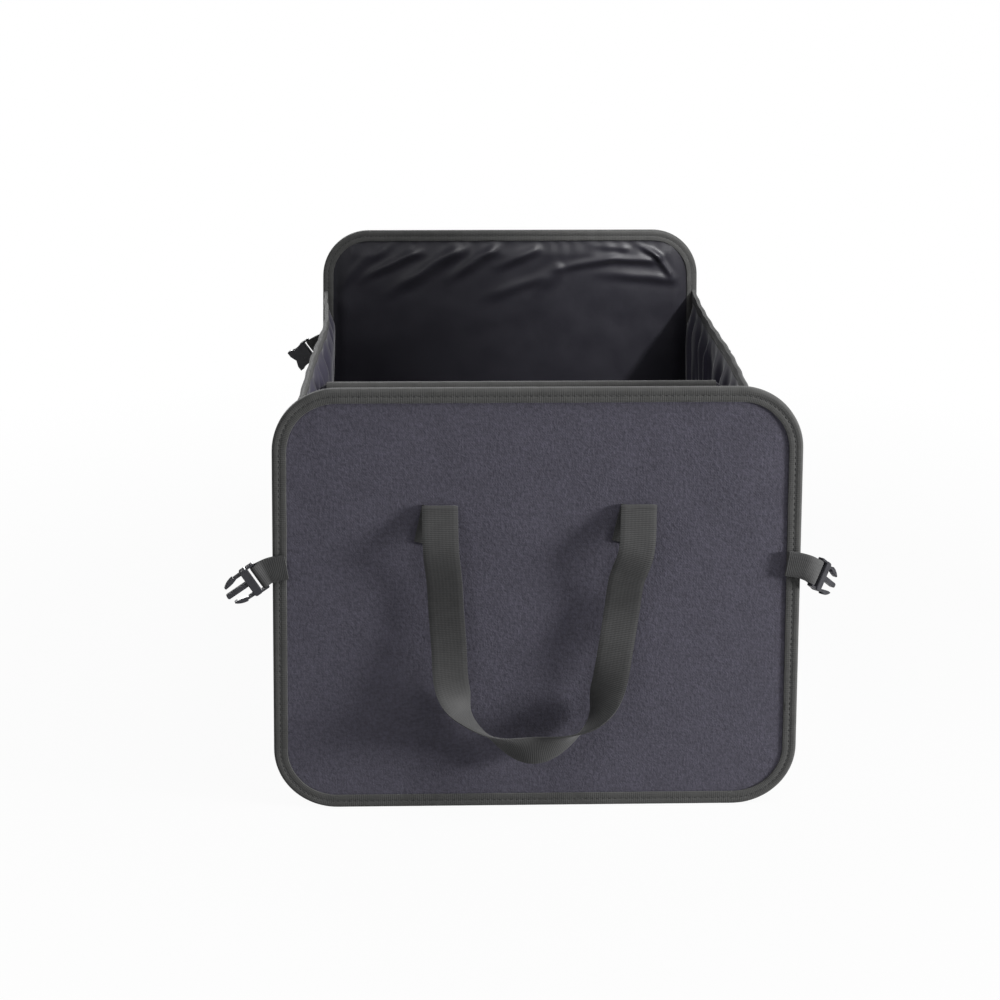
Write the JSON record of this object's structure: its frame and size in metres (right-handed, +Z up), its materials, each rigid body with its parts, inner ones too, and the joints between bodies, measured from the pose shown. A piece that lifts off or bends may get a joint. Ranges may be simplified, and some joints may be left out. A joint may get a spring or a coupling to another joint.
{
  "type": "car trunk organizer",
  "caption": "Folding cloth box for a car trunk with stiff end panels, pleated side walls, a divider, webbing handles and side-release buckles.",
  "frame": {"origin": "on the floor under the middle of the box", "axes": "+Z up, +Y from the front panel to the rear panel, +X to the right seen from the front"},
  "size_m": [0.4412, 0.6692, 0.314],
  "materials": {
    "cover_cloth": "woven polyester, matt",
    "divider_cloth": "woven polyester, matt",
    "lining_cloth": "thin polyester lining with a slight sheen",
    "gusset_cloth": "pleated polyester with a slight sheen",
    "base_board_cloth": "cloth-covered board",
    "binding_tape": "ribbed binding tape, matt",
    "webbing": "woven webbing, matt",
    "board": "plain",
    "buckle_plastic": "moulded, satin"
  },
  "bodies": {
    "root": {"front_cover": "cover_cloth", "rear_cover": "cover_cloth", "divider_cover": "divider_cloth", "front_board": "board", "rear_board": "board", "divider_board": "board", "front_base_board": "base_board_cloth", "rear_base_board": "base_board_cloth", "front_lining": "lining_cloth", "rear_lining": "lining_cloth", "front_binding": "binding_tape", "rear_binding": "binding_tape", "divider_binding": "binding_tape", "left_wall_binding": "binding_tape", "right_wall_binding": "binding_tape", "left_wall": "gusset_cloth", "right_wall": "gusset_cloth", "base_cloth": "gusset_cloth", "front_handle": "webbing", "rear_handle": "webbing", "front_left_strap": "webbing", "front_right_strap": "webbing", "rear_left_strap": "webbing", "rear_right_strap": "webbing"},
    "front_left_buckle": {"front_left_male_buckle": "buckle_plastic"},
    "front_right_buckle": {"front_right_male_buckle": "buckle_plastic"},
    "rear_left_buckle": {"rear_left_female_buckle": "buckle_plastic"},
    "rear_right_buckle": {"rear_right_female_buckle": "buckle_plastic"}
  },
  "joints": [
    {"name": "front_left_buckle_turn", "type": "hinge", "parent": "root", "child": "front_left_buckle", "pos_m": [-0.19411, -0.30759, 0.18128], "axis": [-0.4975, -0.1333, 0.8572], "range_deg": [-85, 85]},
    {"name": "front_right_buckle_turn", "type": "hinge", "parent": "root", "child": "front_right_buckle", "pos_m": [0.19666, -0.30336, 0.17928], "axis": [0.4228, 0.4083, 0.809], "range_deg": [-85, 50]},
    {"name": "rear_left_buckle_turn", "type": "hinge", "parent": "root", "child": "rear_left_buckle", "pos_m": [-0.19487, 0.30675, 0.19615], "axis": [-0.5878, 0, 0.809], "range_deg": [-85, 85]},
    {"name": "rear_right_buckle_turn", "type": "hinge", "parent": "root", "child": "rear_right_buckle", "pos_m": [0.19487, 0.30675, 0.19615], "axis": [0.5878, 0, 0.809], "range_deg": [-85, 85]}
  ]
}
